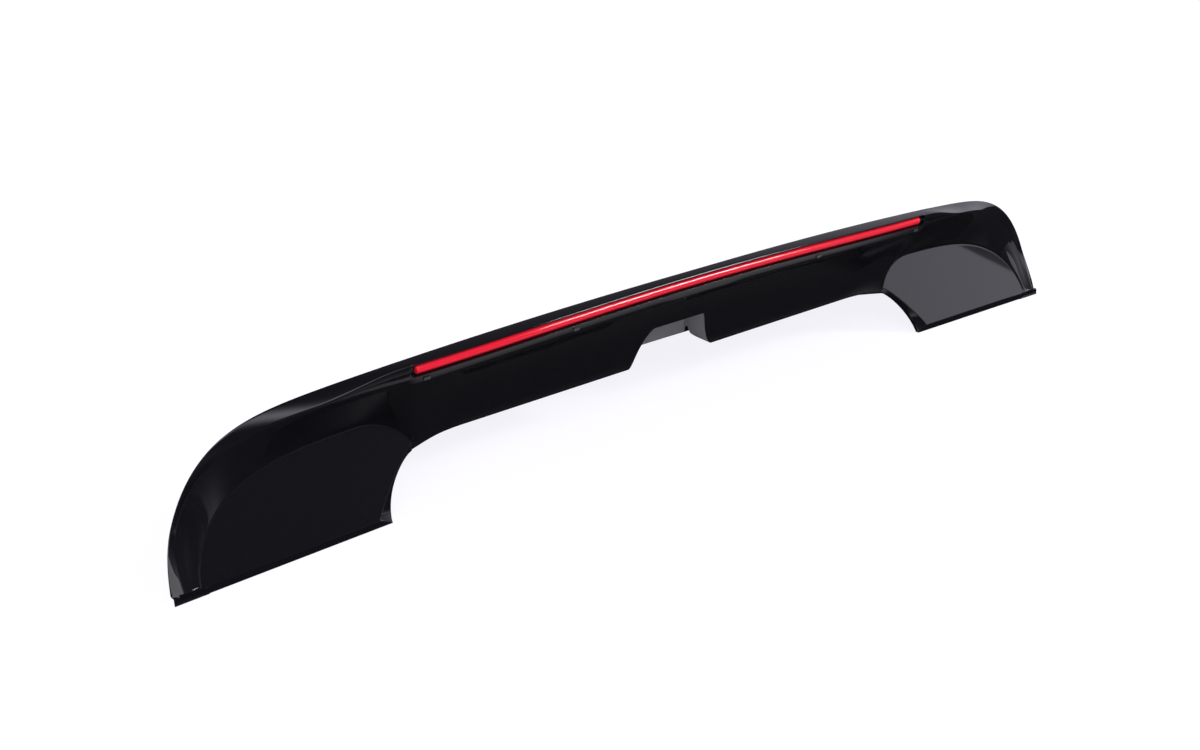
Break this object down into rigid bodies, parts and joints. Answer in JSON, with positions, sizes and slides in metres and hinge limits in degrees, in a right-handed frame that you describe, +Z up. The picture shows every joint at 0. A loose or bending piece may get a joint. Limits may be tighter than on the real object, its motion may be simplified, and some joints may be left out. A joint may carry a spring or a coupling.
{
  "type": "car rear spoiler",
  "caption": "Wide gloss-black hatchback roof spoiler: thin moulding with rounded side fins, concave rear band, centre notch and a red trim strip set into the lip.",
  "frame": {"origin": "middle of the bounding box, on the plane of the bonding flanges", "axes": "+X along the spoiler, -Y towards the finished rear face, +Z up through the lip"},
  "size_m": [1.2, 0.2161, 0.1668],
  "materials": {
    "black_gloss": "high gloss",
    "red_strip": "gloss",
    "pale_stud": "satin"
  },
  "bodies": {
    "root": {"spoiler_shell": "black_gloss", "trim_strip": "red_strip", "strip_studs": "pale_stud"}
  },
  "joints": []
}
